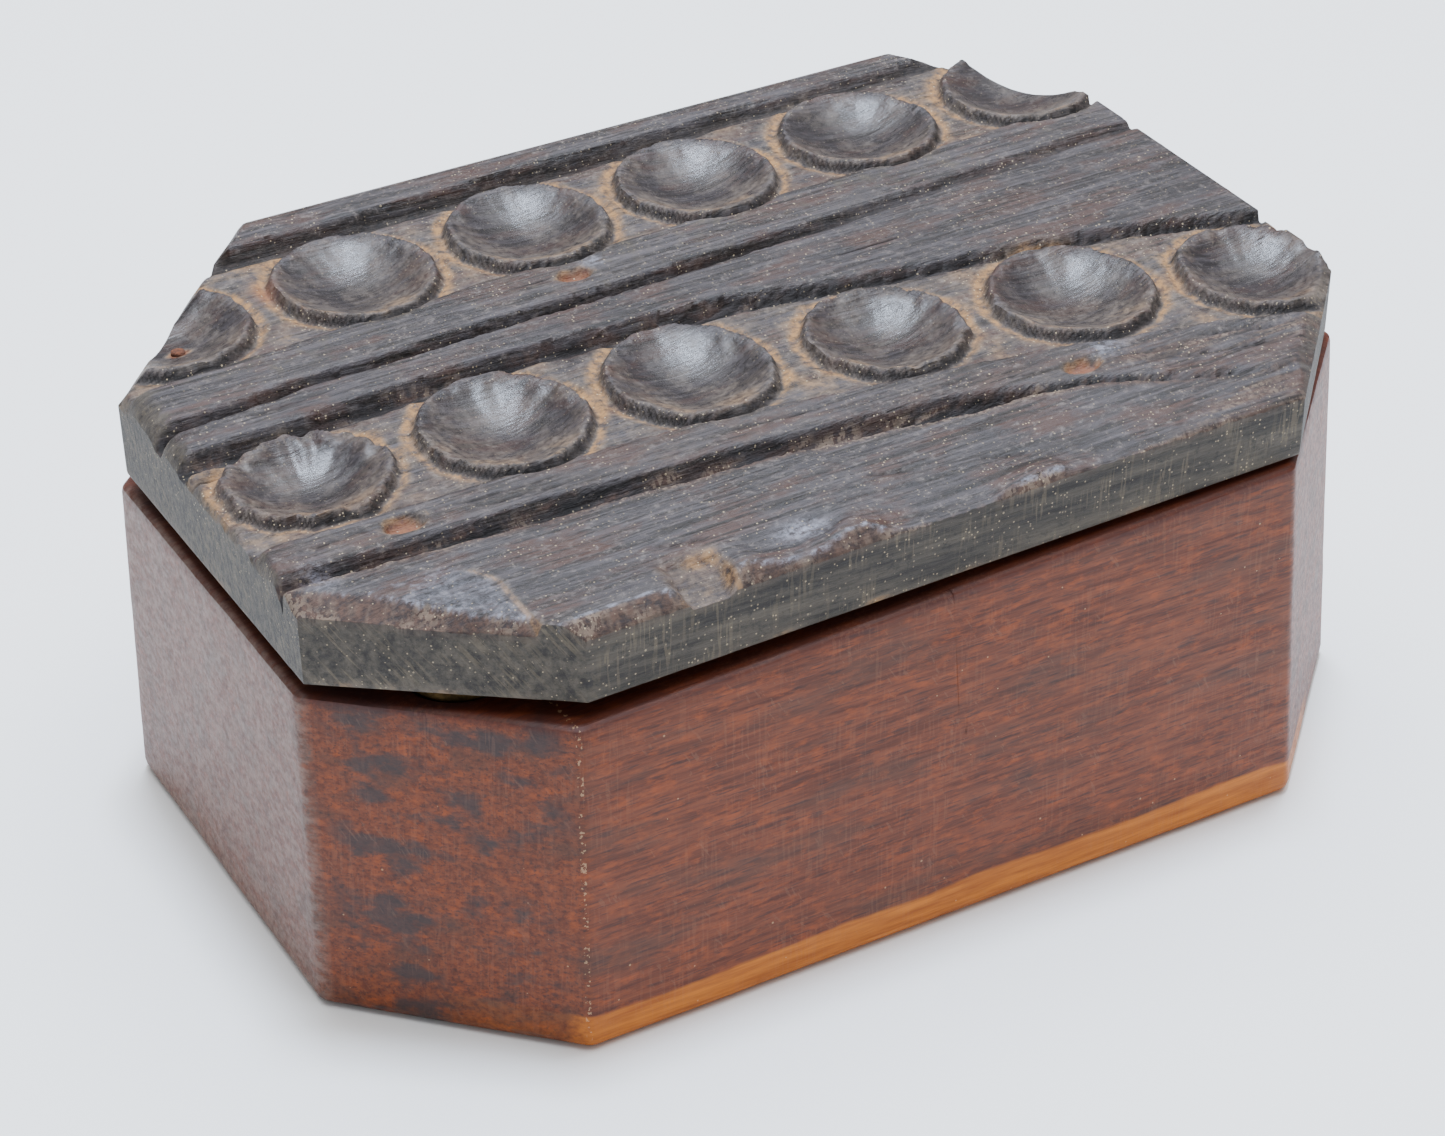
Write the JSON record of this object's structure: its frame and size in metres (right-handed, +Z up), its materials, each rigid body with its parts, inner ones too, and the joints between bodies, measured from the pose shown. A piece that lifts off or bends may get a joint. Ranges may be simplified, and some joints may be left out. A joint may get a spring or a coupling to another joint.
{
  "type": "wooden puzzle box",
  "caption": "Small eight-sided hardwood box with a carved old-wood lid that swivels on a hidden corner pivot once a loose gravity pin has dropped clear.",
  "frame": {"origin": "middle of the underside of the box, on the surface it stands on", "axes": "+X along the box towards its higher right end, +Y towards the back, +Z up"},
  "size_m": [0.1129, 0.0787, 0.0478],
  "materials": {
    "rosewood": "reddish-brown hardwood, sanded and thinly waxed, with a strip of orange sapwood along the foot of the front",
    "old_wood": "very dark weathered hardwood with worn carving and pale dust in the hollows",
    "steel": "plain turned steel",
    "brass": "plain turned brass, slightly dull",
    "rusty_iron": "rusted iron"
  },
  "bodies": {
    "box": {"box_body": "rosewood", "pivot_bush": "brass", "retaining_nail": "steel", "stop_pin": "steel", "strike_bush": "brass"},
    "lid": {"lid_slab": "old_wood", "pivot_pin": "steel", "lock_collar": "brass", "old_nail_front_left": "rusty_iron", "old_nail_middle": "rusty_iron", "old_nail_front_right": "rusty_iron", "old_nail_back_left": "rusty_iron"},
    "lock_pin": {"lock_pin": "steel"}
  },
  "joints": [
    {"name": "lid_swivel", "type": "hinge", "parent": "box", "child": "lid", "pos_m": [0.04118, 0.02572, 0.03703], "axis": [-0.0336, 0, 0.9994], "range_deg": [0, 118]},
    {"name": "lock_pin_drop", "type": "slide", "parent": "lid", "child": "lock_pin", "axis": [0.0336, 0, -0.9994], "range_m": [0, 0.0026]}
  ]
}
